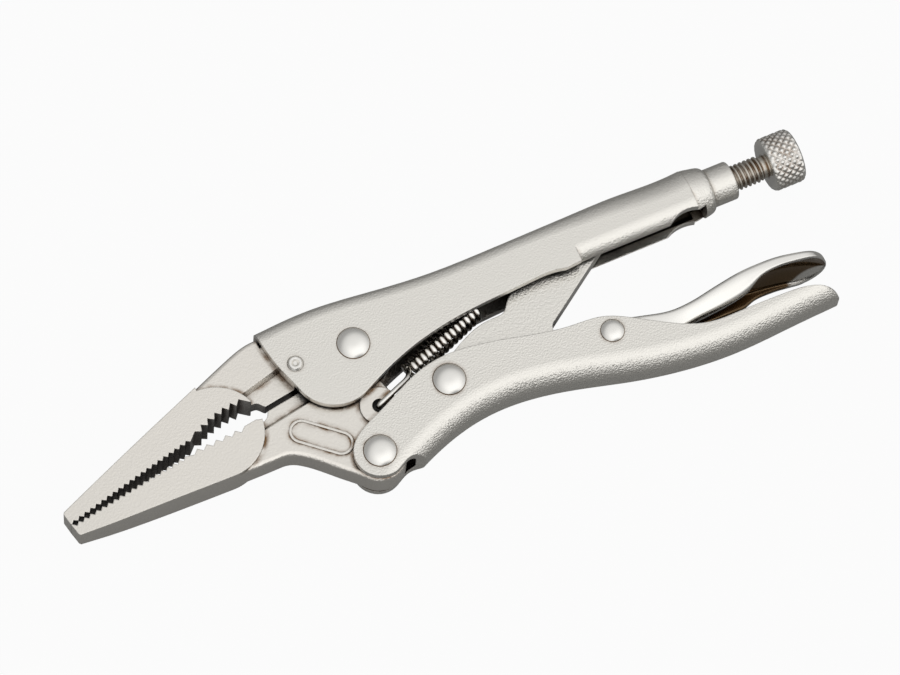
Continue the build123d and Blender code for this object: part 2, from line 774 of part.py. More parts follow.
with BuildPart() as adjusting_knob:
    with BuildSketch(across(knob_start)):
        with Locations((0, screw_axis)):
            Circle(knob_radius)
    extrude(amount=knob_length)
    fillet(adjusting_knob.edges().sort_by(Axis.X)[-1], knob_round)
    fillet(adjusting_knob.edges().sort_by(Axis.X)[0], knob_shoulder)
    with BuildSketch(across(knob_start)):
        with Locations((0, screw_axis)):
            Circle(spigot_radius + rivet_fit)
    extrude(amount=spigot_length + rivet_fit, mode=Mode.SUBTRACT)

write(adjusting_knob, "adjusting_knob")


# ------------------------------------------------------------- rivets and pins
def domed_rivet(place, shank, head, rise, name):
    """A rivet through both cheeks with a shallow dome on each."""
    with BuildPart() as rivet:
        with BuildSketch(side):
            with Locations(place):
                Circle(shank)
        extrude(amount=handle_half, both=True)
        bulge = (head * head + rise * rise) / (2 * rise)
        for flank in (1, -1):
            with BuildPart(mode=Mode.PRIVATE) as dome:
                with BuildSketch(raised(flank * handle_half)):
                    with Locations(place):
                        Circle(head)
                extrude(amount=flank * (rise + 1))
                with Locations(side * Location((place[0], place[1], flank * (handle_half + rise - bulge)))):
                    Sphere(bulge, mode=Mode.INTERSECT)
            add(dome.part)
    write(rivet, name)


domed_rivet(main_pivot, rivet_radius, head_radius, head_rise, "main_pivot_rivet")
domed_rivet(lower_pivot, rivet_radius, head_radius, head_rise, "jaw_handle_rivet")
domed_rivet(link_pivot, rivet_radius, head_radius, head_rise, "link_rivet")
domed_rivet(lever_pivot, lever_rivet_radius, lever_head_radius, lever_head_rise, "release_lever_rivet")

with BuildPart() as jaw_stake_pin:
    with BuildSketch(raised(-handle_half)):
        with Locations(stake_place):
            Circle(stake_radius)
    extrude(amount=2 * handle_half)
    for flank in (1, -1):
        with BuildSketch(raised(flank * handle_half)) as foot:
            with Locations(stake_place):
                Circle(stake_radius)
        extrude(foot.sketch, amount=flank * stake_rise, taper=35)
        with BuildSketch(raised(flank * (handle_half + stake_rise))) as mouth:
            with Locations(stake_place):
                Circle(stake_dimple)
        extrude(mouth.sketch, amount=-flank * stake_rise, taper=35, mode=Mode.SUBTRACT)

write(jaw_stake_pin, "jaw_stake_pin")


# --------------------------------------------------------------- return spring
# A close coil between the lug on the moving jaw and the tab in the fixed handle,
# with a leg and a bent hook at each end.
def in_side(x, y, z=0.0):
    """A point of the side plane, raised off it."""
    return (pivot_x + x, pivot_y + y, stand_height + z)


hook_x = anchor_place[0] + anchor_thick / 2 + 0.6
hook_y = anchor_place[1]
leg_bend = 0.7

with BuildPart() as return_spring:
    with BuildLine() as coil_line:
        coil = Helix(
            pitch=coil_pitch, height=coil_pitch * coil_turns, radius=coil_radius,
            center=in_side(*coil_start), direction=(1, coil_slope, 0), lefthand=True,
        )
    with BuildSketch(Plane(origin=coil @ 0, z_dir=coil % 0)) as coil_wire:
        Circle(wire_radius)
    sweep(coil_wire.sketch, path=coil_line.line, is_frenet=True)
    # front leg, off the top of the coil, along the upper face of the lug and down
    # through its hole
    front_root = (coil @ 0) + (coil % 0) * 0.3
    with BuildLine() as front_leg:
        leg = FilletPolyline(
            front_root, in_side(8.2, -6.6, 1.9), in_side(7.6, -10.2, 3.4), in_side(4.6, -11.9, lug_face),
            in_side(lug_place[0], lug_place[1], lug_face), in_side(lug_place[0], lug_place[1], -pad_half),
            radius=leg_bend,
        )
    with BuildSketch(Plane(origin=leg @ 0, z_dir=leg % 0)) as front_wire:
        Circle(wire_radius)
    sweep(front_wire.sketch, path=front_leg.line)
    # rear leg, off the coil, straight through the tab and turned aside behind it
    rear_root = (coil @ 1) - (coil % 1) * 0.3
    with BuildLine() as rear_leg:
        leg = FilletPolyline(
            rear_root, in_side(26.0, 0.3, -1.7), in_side(28.0, -0.6, -1.9), in_side(33.5, hook_y, 0),
            in_side(hook_x, hook_y, 0), in_side(hook_x, hook_y, 2.0), radius=leg_bend,
        )
    with BuildSketch(Plane(origin=leg @ 0, z_dir=leg % 0)) as rear_wire:
        Circle(wire_radius)
    sweep(rear_wire.sketch, path=rear_leg.line)

write(return_spring, "return_spring")
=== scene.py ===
import json
import math

import bpy
import numpy as np
from bpy.props import FloatProperty, FloatVectorProperty, IntProperty, PointerProperty
from mathutils import Matrix, Vector


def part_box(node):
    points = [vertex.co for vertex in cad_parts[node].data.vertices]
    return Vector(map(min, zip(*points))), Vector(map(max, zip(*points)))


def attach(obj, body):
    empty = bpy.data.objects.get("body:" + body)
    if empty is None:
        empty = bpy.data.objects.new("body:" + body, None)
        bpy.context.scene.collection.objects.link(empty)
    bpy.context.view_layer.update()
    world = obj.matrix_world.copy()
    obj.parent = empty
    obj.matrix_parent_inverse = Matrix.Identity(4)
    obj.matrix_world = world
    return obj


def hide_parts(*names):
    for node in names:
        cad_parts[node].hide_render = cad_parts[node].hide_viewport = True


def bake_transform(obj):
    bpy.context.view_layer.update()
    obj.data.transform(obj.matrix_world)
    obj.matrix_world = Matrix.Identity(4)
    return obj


bl_info = {
    "name": "Locking pliers finish",
    "version": (1, 0, 0),
    "blender": (4, 5, 0),
    "location": "View3D > Sidebar > Pliers",
    "description": "Dresses the frame of long-nose locking pliers: finishes, lever, rivets, thread, spring",
    "category": "Object",
}

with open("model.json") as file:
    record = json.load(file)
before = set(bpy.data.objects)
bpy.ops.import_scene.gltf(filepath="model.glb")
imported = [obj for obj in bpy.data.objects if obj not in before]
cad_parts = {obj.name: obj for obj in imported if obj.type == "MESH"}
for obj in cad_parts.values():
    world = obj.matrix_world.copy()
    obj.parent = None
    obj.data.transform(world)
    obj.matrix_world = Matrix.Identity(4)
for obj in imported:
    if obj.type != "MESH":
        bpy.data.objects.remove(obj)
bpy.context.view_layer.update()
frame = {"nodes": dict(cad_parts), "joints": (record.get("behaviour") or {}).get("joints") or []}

MM = 0.001
JOINTS = {joint["name"]: joint for joint in frame["joints"]}
PIVOT = Vector(JOINTS["jaw_pivot"]["pos_m"])

FLAT_WEAR = 0.62            # share of the grain's depth that is worn off the broad flats
FLAT_LIMITS = (0.80, 0.99)  # how upright a surface is where the wear starts and where it is full
COARSE_SCALE = 0.22         # the coarse grain's scale, as a share of the fine one's
PATCH_SCALE = 420.0
PATCH_LIMITS = (0.30, 0.62)
# corner marks: a brown residue with painted shade where the corners close in; how open a surface is where
# they start and where they are full
CORNERS = {"Open": 0.99, "Closed": 0.78}
# painted shade deep inside: how open a surface is where the painted shade starts and where it is full,
# without patches
PAINTED_SHADE_LIMITS = {"Open": 0.58, "Closed": 0.28, "Patchy": 0.0}


# ------------------------------------------------------------------ properties
class PliersSizes(bpy.types.PropertyGroup):
    """Sizes of the pieces that are cut or wound here"""

    thread_pitch: FloatProperty(
        name="Thread pitch", description="Advance of the adjusting thread in one turn",
        default=1.0 * MM, unit="LENGTH", precision=5,
    )
    thread_depth: FloatProperty(
        name="Thread depth", description="Height of the thread over its root",
        default=0.52 * MM, unit="LENGTH", precision=5,
    )
    knurl_rows: IntProperty(
        name="Knurl count", description="Diamonds round the knob", default=22, min=8,
    )
    knurl_depth: FloatProperty(
        name="Knurl depth", description="Depth of the knurled grooves",
        default=0.38 * MM, unit="LENGTH", precision=5,
    )
    wire_radius: FloatProperty(
        name="Wire radius", description="Radius of the spring wire",
        default=0.57 * MM, unit="LENGTH", precision=5,
    )
    coil_radius: FloatProperty(
        name="Coil radius", description="Radius of the coil to the middle of its wire",
        default=1.95 * MM, unit="LENGTH", precision=5,
    )
    coil_pitch: FloatProperty(
        name="Coil pitch", description="Advance of the spring in one turn",
        default=1.35 * MM, unit="LENGTH", precision=5,
    )
    coil_turns: IntProperty(
        name="Coil turns", description="Turns of the return spring", default=14, min=2,
    )


class PliersFinish(bpy.types.PropertyGroup):
    """Colours and textures of the metal"""

    nickel: FloatVectorProperty(
        name="Nickel", description="Colour of the satin nickel plate", subtype="COLOR",
        size=3, default=(0.70, 0.68, 0.635), min=0, max=1,
    )
    ground: FloatVectorProperty(
        name="Ground nickel", description="Colour of the nickel over the jaws", subtype="COLOR",
        size=3, default=(0.71, 0.68, 0.63), min=0, max=1,
    )
    bright: FloatVectorProperty(
        name="Bright nickel", description="Colour of the polished and turned pieces", subtype="COLOR",
        size=3, default=(0.76, 0.745, 0.71), min=0, max=1,
    )
    dark_steel: FloatVectorProperty(
        name="Dark steel", description="Colour of the adjusting screw", subtype="COLOR",
        size=3, default=(0.52, 0.49, 0.44), min=0, max=1,
    )
    # Corner colour: a brown residue in corners and creases, laid with painted shade over the closed-in
    # places
    residue_and_shade: FloatVectorProperty(
        name="Stain", description="Colour of the film left in corners", subtype="COLOR",
        size=3, default=(0.17, 0.10, 0.05), min=0, max=1,
    )
    rim: FloatVectorProperty(
        name="Rim", description="Colour of the stained rim of a rivet", subtype="COLOR",
        size=3, default=(0.26, 0.17, 0.10), min=0, max=1,
    )
    # Painted reflection with a brown residue: the dark colour laid inside the lever, where its inner face
    # reflects the dark handle
    inside_residue_and_reflection: FloatVectorProperty(
        name="Trough", description="Colour of the stained inside of the lever", subtype="COLOR",
        size=3, default=(0.15, 0.10, 0.055), min=0, max=1,
    )
    # Painted shade: a dark colour laid over surfaces deep inside the channels, where the walls shade them
    painted_shade: FloatVectorProperty(
        name="Hollow", description="Colour of the unplated metal deep inside the channels", subtype="COLOR",
        size=3, default=(0.05, 0.036, 0.025), min=0, max=1,
    )
    # how far a surface looks for walls before the painted shade falls on it
    painted_shade_reach: FloatProperty(
        name="Hollow reach", description="How far a surface looks for walls before it counts as inside",
        default=9.0 * MM, unit="LENGTH", precision=5,
    )
    grain_size: FloatProperty(
        name="Grain size", description="Size of one grain of the blasted surface",
        default=0.36 * MM, unit="LENGTH", precision=5,
    )
    grain_depth: FloatProperty(
        name="Grain depth", description="Depth of the blasted surface",
        default=0.26 * MM, unit="LENGTH", precision=5,
    )
    edge_round: FloatProperty(
        name="Edge round", description="Radius that tumbling leaves on every edge",
        default=0.30 * MM, unit="LENGTH", precision=5,
    )


class PliersStage(bpy.types.PropertyGroup):
    """Floor, lamps and camera"""

    key_power: FloatProperty(
        name="Key power", description="Power of the overhead soft box", default=1.1, min=0, subtype="POWER",
    )
    key_size: FloatProperty(
        name="Key size", description="Width of the overhead soft box", default=0.9, min=0.1, unit="LENGTH",
    )
    tent_bright: FloatProperty(
        name="Tent", description="Brightness of the light tent where its lamp stands", default=0.95, min=0,
    )
    tent_dark: FloatProperty(
        name="Tent edge", description="Brightness of the tent away from its lamp", default=0.36, min=0,
    )
    tent_core: FloatProperty(
        name="Tent core", description="Added brightness where the lamp stands behind the tent",
        default=0.48, min=0,
    )
    tent_front: FloatProperty(
        name="Tent front", description="Share of its brightness that the tent keeps low in front",
        default=0.15, min=0, max=1,
    )
    metal_share: FloatProperty(
        name="White in metal", description="How much of the white backdrop metal picks up",
        default=0.12, min=0, max=1,
    )
    floor_tone: FloatProperty(
        name="Floor tone", description="Tone of the pale floor", default=0.15, min=0, max=1,
    )
    lens: FloatProperty(
        name="Lens", description="Focal length of the camera in millimetres", default=224.0, min=10,
    )


# --------------------------------------------------------------------- meshes
def at(x, y, z=0.0):
    """A point given in millimetres from the main pivot, in the side plane."""
    return PIVOT + Vector((x, y, z)) * MM


def between(start, end, leave, arrive, t):
    """A place on the smooth curve that leaves start and arrives at end as given."""
    return (
        start * (2 * t**3 - 3 * t**2 + 1) + leave * (t**3 - 2 * t**2 + t)
        + end * (3 * t**2 - 2 * t**3) + arrive * (t**3 - t**2)
    )


def mesh_object(name, points, faces):
    mesh = bpy.data.meshes.new(name)
    mesh.from_pydata([tuple(p) for p in points], [], faces)
    mesh.validate()
    mesh.polygons.foreach_set("use_smooth", [True] * len(mesh.polygons))
    mesh.update()
    piece = bpy.data.objects.new(name, mesh)
    bpy.context.scene.collection.objects.link(piece)
    return piece


def skin_rings(name, rings):
    """A closed skin over rings of points that each have the same count."""
    count = len(rings[0])
    points = [p for ring in rings for p in ring]
    faces = []
    for r in range(len(rings) - 1):
        low = r * count
        for k in range(count):
            after = (k + 1) % count
            faces.append((low + k, low + after, low + count + after, low + count + k))
    faces.append(tuple(reversed(range(count))))
    last = (len(rings) - 1) * count
    faces.append(tuple(range(last, last + count)))
    return mesh_object(name, points, faces)


def turned_ring(x, radius_at, count):
    """A ring round the screw's axis, at a place along it in metres."""
    low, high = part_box("adjusting_screw")
    middle_y = (low.y + high.y) / 2
    middle_z = (low.z + high.z) / 2
    ring = []
    for k in range(count):
        turn = 2 * math.pi * k / count
        radius = radius_at(x, turn)
        ring.append((x, middle_y + radius * math.cos(turn), middle_z + radius * math.sin(turn)))
    return ring


# ------------------------------------------------------------- shader networks
def socket(group, name, way, kind, value=None):
    made = group.interface.new_socket(name=name, in_out=way, socket_type=kind)
    if value is not None:
        made.default_value = value
    return made


def add_node(tree, kind, place, **settings):
    node = tree.nodes.new(kind)
    node.location = place
    for key, value in settings.items():
        setattr(node, key, value)
    return node


def multiply(group, place, first, second):
    """The product of two outputs."""
    product = add_node(group, "ShaderNodeMath", place, operation="MULTIPLY")
    group.links.new(first, product.inputs[0])
    group.links.new(second, product.inputs[1])
    return product.outputs[0]


def rest_of(group, place, share):
    """What a share leaves of one."""
    rest = add_node(group, "ShaderNodeMath", place, operation="SUBTRACT")
    rest.inputs[0].default_value = 1.0
    group.links.new(share, rest.inputs[1])
    return rest.outputs[0]


def remap(tree, place, value, limits, levels=(0.0, 1.0), kind="LINEAR"):
    """A value brought from its limits to two levels."""
    node = add_node(tree, "ShaderNodeMapRange", place, interpolation_type=kind)
    node.inputs["From Min"].default_value, node.inputs["From Max"].default_value = limits
    node.inputs["To Min"].default_value, node.inputs["To Max"].default_value = levels
    tree.links.new(value, node.inputs["Value"])
    return node.outputs[0]


def blasted_grain():
    """Fine irregular grains of a blasted surface, worn down on the broad flats, as a
    height."""
    group = bpy.data.node_groups.new("Blasted grain", "ShaderNodeTree")
    socket(group, "Size", "INPUT", "NodeSocketFloat", 0.3 * MM)
    socket(group, "Spread", "INPUT", "NodeSocketFloat", 0.5)
    socket(group, "Worn", "INPUT", "NodeSocketFloat", 0.0)
    socket(group, "Height", "OUTPUT", "NodeSocketFloat")
    given = add_node(group, "NodeGroupInput", (-900, 0))
    result = add_node(group, "NodeGroupOutput", (500, 0))
    where = add_node(group, "ShaderNodeTexCoord", (-900, 200))
    scale = add_node(group, "ShaderNodeMath", (-700, 0), operation="DIVIDE")
    scale.inputs[0].default_value = 1.0
    group.links.new(given.outputs["Size"], scale.inputs[1])
    fine = add_node(group, "ShaderNodeTexNoise", (-450, 150))
    fine.inputs["Detail"].default_value = 1.5
    fine.inputs["Roughness"].default_value = 0.55
    group.links.new(where.outputs["Object"], fine.inputs["Vector"])
    group.links.new(scale.outputs[0], fine.inputs["Scale"])
    coarse_scale = add_node(group, "ShaderNodeMath", (-600, -200), operation="MULTIPLY")
    coarse_scale.inputs[1].default_value = COARSE_SCALE
    group.links.new(scale.outputs[0], coarse_scale.inputs[0])
    coarse = add_node(group, "ShaderNodeTexNoise", (-450, -150))
    coarse.inputs["Detail"].default_value = 2.0
    group.links.new(where.outputs["Object"], coarse.inputs["Vector"])
    group.links.new(coarse_scale.outputs[0], coarse.inputs["Scale"])
    both = add_node(group, "ShaderNodeMath", (-100, 100), operation="MULTIPLY_ADD")
    group.links.new(coarse.outputs["Fac"], both.inputs[0])
    group.links.new(given.outputs["Spread"], both.inputs[1])
    group.links.new(fine.outputs["Fac"], both.inputs[2])
    parts = add_node(group, "ShaderNodeSeparateXYZ", (-650, 400))
    group.links.new(where.outputs["Normal"], parts.inputs[0])
    upright = add_node(group, "ShaderNodeMath", (-450, 400), operation="ABSOLUTE")
    group.links.new(parts.outputs["Z"], upright.inputs[0])
    flat = remap(group, (-250, 400), upright.outputs[0], FLAT_LIMITS, kind="SMOOTHSTEP")
    worn = multiply(group, (-50, 400), flat, given.outputs["Worn"])
    left = rest_of(group, (100, 400), worn)
    height = multiply(group, (250, 200), both.outputs[0], left)
    group.links.new(height, result.inputs["Height"])
    return group


# the mask for the corner marks: painted shade where a surface is closed in, broken into patches of brown
# residue
def corner_residue_and_shade():
    """How closed in a surface is, broken up into patches, as a mask."""
    group = bpy.data.node_groups.new("Corner residue and shade", "ShaderNodeTree")
    socket(group, "Reach", "INPUT", "NodeSocketFloat", 1.2 * MM)
    socket(group, "Open", "INPUT", "NodeSocketFloat", 0.82)
    socket(group, "Closed", "INPUT", "NodeSocketFloat", 0.30)
    socket(group, "Patchy", "INPUT", "NodeSocketFloat", 1.0)
    socket(group, "Amount", "INPUT", "NodeSocketFloat", 0.6)
    socket(group, "Mask", "OUTPUT", "NodeSocketFloat")
    given = add_node(group, "NodeGroupInput", (-800, 0))
    result = add_node(group, "NodeGroupOutput", (600, 0))
    shade = add_node(group, "ShaderNodeAmbientOcclusion", (-550, 100), samples=8)
    group.links.new(given.outputs["Reach"], shade.inputs["Distance"])
    closed = add_node(group, "ShaderNodeMapRange", (-300, 100))
    group.links.new(given.outputs["Open"], closed.inputs["From Min"])
    group.links.new(given.outputs["Closed"], closed.inputs["From Max"])
    group.links.new(shade.outputs["AO"], closed.inputs["Value"])
    where = add_node(group, "ShaderNodeTexCoord", (-800, -250))
    patches = add_node(group, "ShaderNodeTexNoise", (-550, -250))
    patches.inputs["Scale"].default_value = PATCH_SCALE
    patches.inputs["Detail"].default_value = 4.0
    group.links.new(where.outputs["Object"], patches.inputs["Vector"])
    broken = remap(group, (-300, -250), patches.outputs["Fac"], PATCH_LIMITS)
    whole = rest_of(group, (-300, -450), given.outputs["Patchy"])
    patchy = add_node(group, "ShaderNodeMath", (-100, -250), operation="MAXIMUM")
    group.links.new(broken, patchy.inputs[0])
    group.links.new(whole, patchy.inputs[1])
    residue_and_shade_level = multiply(group, (50, 0), closed.outputs[0], patchy.outputs[0])
    mask = multiply(group, (250, 0), residue_and_shade_level, given.outputs["Amount"])
    group.links.new(mask, result.inputs["Mask"])
    return group


def group_node(tree, group, place, **values):
    node = add_node(tree, "ShaderNodeGroup", place, node_tree=group)
    for key, value in values.items():
        node.inputs[key].default_value = value
    return node


def tint(tree, place, under, mask, colour):
    """A colour laid where a mask is set, over another colour or output."""
    mix = add_node(tree, "ShaderNodeMix", place, data_type="RGBA")
    if isinstance(under, bpy.types.NodeSocket):
        tree.links.new(under, mix.inputs["A"])
    else:
        mix.inputs["A"].default_value = (*under, 1.0)
    mix.inputs["B"].default_value = (*colour, 1.0)
    tree.links.new(mask, mix.inputs["Factor"])
    return mix.outputs["Result"]


def plated_metal(name, colour, roughness, grain=0.0, grain_size=0.3 * MM, spread=0.5,
                 residue_and_shade_level=0.0, residue_and_shade_reach=0.9 * MM, painted_shade=0.0):
    """Metal under a nickel plate, with a blasted grain, tumbled edges, a brown residue
    with painted shade in its corners, and painted shade deep inside."""
    finish = bpy.context.scene.pliers_finish
    groups = bpy.data.node_groups
    material = bpy.data.materials.new(name)
    material.use_nodes = True
    tree = material.node_tree
    shader = tree.nodes["Principled BSDF"]
    shader.inputs["Metallic"].default_value = 1.0
    shader.inputs["Roughness"].default_value = roughness
    shader.inputs["Base Color"].default_value = (*colour, 1.0)
    edges = add_node(tree, "ShaderNodeBevel", (-700, -500), samples=4)
    edges.inputs["Radius"].default_value = finish.edge_round
    normal = edges.outputs["Normal"]
    if grain > 0:
        grains = group_node(tree, groups["Blasted grain"], (-700, -250),
                            Size=grain_size, Spread=spread, Worn=FLAT_WEAR)
        bump = add_node(tree, "ShaderNodeBump", (-350, -400))
        bump.inputs["Distance"].default_value = grain
        bump.inputs["Strength"].default_value = 1.0
        tree.links.new(grains.outputs["Height"], bump.inputs["Height"])
        tree.links.new(normal, bump.inputs["Normal"])
        normal = bump.outputs["Normal"]
    tree.links.new(normal, shader.inputs["Normal"])
    # corners: brown residue with painted shade, laid where the surface is closed in
    if residue_and_shade_level > 0:
        corners = group_node(tree, groups["Corner residue and shade"], (-700, 200),
                             Reach=residue_and_shade_reach, Amount=residue_and_shade_level, **CORNERS)
        skin = tint(tree, (-350, 200), colour, corners.outputs["Mask"], finish.residue_and_shade)
        # painted shade: surfaces closed in by walls within the reach are darkened further
        if painted_shade > 0:
            inside = group_node(tree, groups["Corner residue and shade"], (-700, 500),
                                Reach=finish.painted_shade_reach, Amount=painted_shade, **PAINTED_SHADE_LIMITS)
            skin = tint(tree, (-150, 350), skin, inside.outputs["Mask"], finish.painted_shade)
        tree.links.new(skin, shader.inputs["Base Color"])
    return material


def wear(material, *pieces):
    """Gives a material to each piece, in place of what it has."""
    for piece in pieces:
        piece.data.materials.clear()
        piece.data.materials.append(material)


def cad(*names):
    return [frame["nodes"][name] for name in names]


# ------------------------------------------------------------------- operators
class PLIERS_OT_effects(bpy.types.Operator):
    """Build the shared surface effects"""

    bl_idname = "pliers.effects"
    bl_label = "Surface effects"

    def execute(self, context):
        blasted_grain()
        corner_residue_and_shade()
        return {"FINISHED"}


class PLIERS_OT_handles(bpy.types.Operator):
    """Give both handles and the toggle link their satin nickel"""

    bl_idname = "pliers.handles"
    bl_label = "Handles and link"

    def execute(self, context):
        finish = context.scene.pliers_finish
        satin = plated_metal(
            "Satin nickel", finish.nickel, 0.29, grain=finish.grain_depth,
            grain_size=finish.grain_size, spread=0.25, residue_and_shade_level=1.0, painted_shade=0.97,
        )
        wear(satin, *cad("lower_handle", "toggle_link"))
        fine = plated_metal(
            "Fine satin nickel", finish.nickel, 0.28, grain=0.7 * finish.grain_depth,
            grain_size=finish.grain_size, spread=0.25, residue_and_shade_level=0.45, painted_shade=0.97,
        )
        wear(fine, *cad("upper_handle"))
        return {"FINISHED"}


class PLIERS_OT_jaws(bpy.types.Operator):
    """Give the jaws their forged and ground nickel"""

    bl_idname = "pliers.jaws"
    bl_label = "Jaws"

    def execute(self, context):
        finish = context.scene.pliers_finish
        ground = plated_metal(
            "Jaw nickel", finish.ground, 0.29, grain=0.4 * finish.grain_depth, spread=0.4,
            grain_size=1.3 * finish.grain_size, residue_and_shade_level=1.0, residue_and_shade_reach=1.2 * MM, painted_shade=0.95,
        )
        wear(ground, *cad("upper_jaw", "lower_jaw"))
        return {"FINISHED"}


class PLIERS_OT_lever(bpy.types.Operator):
    """Press the release lever: a polished arm that flares into a crowned thumb pad"""

    bl_idname = "pliers.lever"
    bl_label = "Release lever"

    # place behind the pivot, crown, rim at the sides, half width, lower edge and
    # tuck of the flank, in millimetres
    stations = (
        (37.5, -17.6, -17.7, 3.95, -19.0, 0.0),
        (44.0, -16.2, -16.3, 3.95, -20.5, 0.0),
        (49.5, -15.0, -15.2, 3.95, -21.8, 0.0),
        (56.0, -16.6, -16.8, 3.95, -22.8, 0.0),
        (62.0, -17.95, -18.2, 3.95, -22.8, 0.4),
        (67.0, -18.0, -18.05, 4.05, -22.1, 1.0),
        (73.0, -17.2, -17.35, 5.2, -21.85, 1.2),
        (78.0, -16.5, -17.05, 6.5, -21.3, 1.0),
        (82.0, -16.1, -17.3, 7.5, -19.7, 0.2),
        (86.0, -15.9, -17.7, 8.0, -19.4, 0.0),
        (90.0, -16.5, -18.4, 8.0, -19.8, 0.0),
        (93.0, -17.5, -19.1, 8.0, -20.3, 0.0),
        (95.5, -18.8, -20.1, 8.0, -21.0, 0.0),
        (96.7, -19.6, -20.9, 8.0, -21.5, 0.0),
    )
    sheet = 1.2
    corner = 0.8             # round between the pad and its flanks
    band = 1.4               # height of the straight edge under the round
    tip_round = 5.5
    step = 0.7
    tip_rows = 14
    least_half = 0.5         # the tip's last half width
    least_flank = 0.3
    wall_share = 0.7         # most of a narrow half width that the sheet takes
    roof_shares = (0, 0.25, 0.5, 0.75, 0.9)
    corner_turns = (90, 70, 50, 30, 10, 0)
    flank_shares = ((0, 0), (0.25, 0.3), (0.6, 0.6), (1, 1))    # of the tuck and of the drop
    # painted reflection: inside, the dark reflection gives way here to a brighter painted reflection of the
    # floor, farther back on the upper side
    reflection_end = 96.2
    reflection_slant = 0.95
    reflection_fade = 0.5

    def smooth_station(self, x):
        """The sizes at a place between two stations, on smooth curves."""
        rows = self.stations
        n = max(k for k in range(len(rows) - 1) if rows[k][0] <= x or k == 0)
        start, end = rows[n], rows[n + 1]
        before, after = rows[max(n - 1, 0)], rows[min(n + 2, len(rows) - 1)]
        span = end[0] - start[0]
        t = (x - start[0]) / span
        sizes = []
        for k in range(1, len(start)):
            leave = (end[k] - before[k]) / (end[0] - before[0]) * span
            arrive = (after[k] - start[k]) / (after[0] - start[0]) * span
            sizes.append(between(start[k], end[k], leave, arrive, t))
        return sizes

    def section(self, x):
        """A ring round the sheet at one place: over the outside and back inside."""
        crown, rim, full, lower, tuck = self.smooth_station(x)
        tip = self.stations[-1][0]
        into_tip = max(0.0, (x - tip + self.tip_round) / self.tip_round)
        half = max(self.least_half, full * math.sqrt(max(0.0, 1 - into_tip**2)))

        def arch(z):
            return crown - (crown - rim) * (z / full) ** 2

        lower = min(lower + arch(half) - arch(full), arch(half) - self.sheet)
        flat = half - self.corner
        centre = arch(max(flat, 0)) - self.corner
        outside = [(max(z * flat, 0.0), arch(z * flat)) for z in self.roof_shares]
        for turn in self.corner_turns:
            angle = math.radians(turn)
            outside.append((flat + self.corner * math.cos(angle), centre + self.corner * math.sin(angle)))
        knee = max(centre - (self.band - self.corner), lower + self.least_flank)
        for inward, down in self.flank_shares:
            outside.append((half - inward * tuck, knee - down * (knee - lower)))

        wall = min(self.sheet, self.wall_share * half)
        inside = []
        for z, y in reversed(outside):
            past_flat = z > flat - 0.01
            inner_z = max(z - wall, 0.0) if past_flat else z * (half - wall) / half
            roof = arch(max(min(z, half - wall), 0)) - self.sheet
            inside.append((inner_z, max(min(y, roof), lower)))
        inside[0] = (half - tuck - wall, lower)
        path = outside + inside
        ring = path + [(-z, y) for z, y in reversed(path)]
        return [at(x, y, z) for z, y in ring]

    def residue_and_reflection_inside(self, finish):
        """The inside of the lever: a painted dark reflection with a brown residue, and a painted bright
        reflection of the floor at its end.
        """
        metal = plated_metal("Lever inside residue and reflection", finish.inside_residue_and_reflection, 0.24)
        tree = metal.node_tree
        where = add_node(tree, "ShaderNodeTexCoord", (-900, 200))
        slant = add_node(tree, "ShaderNodeVectorMath", (-700, 200), operation="DOT_PRODUCT")
        slant.inputs[1].default_value = (1.0, 0.0, -self.reflection_slant)
        tree.links.new(where.outputs["Object"], slant.inputs[0])
        end = at(self.reflection_end, 0)
        limit = end.x - self.reflection_slant * end.z
        limits = (limit - self.reflection_fade * MM, limit + self.reflection_fade * MM)
        # painted reflection: brighter towards the end, where the inside reflects the floor
        floor_reflection = remap(tree, (-500, 200), slant.outputs["Value"], limits, kind="SMOOTHSTEP")
        colour = tint(tree, (-300, 200), finish.inside_residue_and_reflection, floor_reflection, finish.bright)
        tree.links.new(colour, tree.nodes["Principled BSDF"].inputs["Base Color"])
        return metal

    def execute(self, context):
        finish = context.scene.pliers_finish
        first, last = self.stations[0][0], self.stations[-1][0]
        places = list(np.arange(first, last - self.tip_round, self.step))
        for row in range(self.tip_rows + 1):
            share = math.sin(math.pi / 2 * row / self.tip_rows)
            places.append(last - self.tip_round * (1 - share))
        rings = [self.section(x) for x in places]
        lever = skin_rings("release_lever_pressing", rings)
        wear(plated_metal("Bright nickel", finish.bright, 0.14, residue_and_shade_level=0.3), lever)
        # the inner faces take the painted reflection
        lever.data.materials.append(self.residue_and_reflection_inside(finish))
        side_count = len(rings[0]) // 4
        for face in lever.data.polygons:
            if side_count <= face.index % (4 * side_count) < 3 * side_count:
                face.material_index = 1
        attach(lever, "lever")
        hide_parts("release_lever")
        return {"FINISHED"}


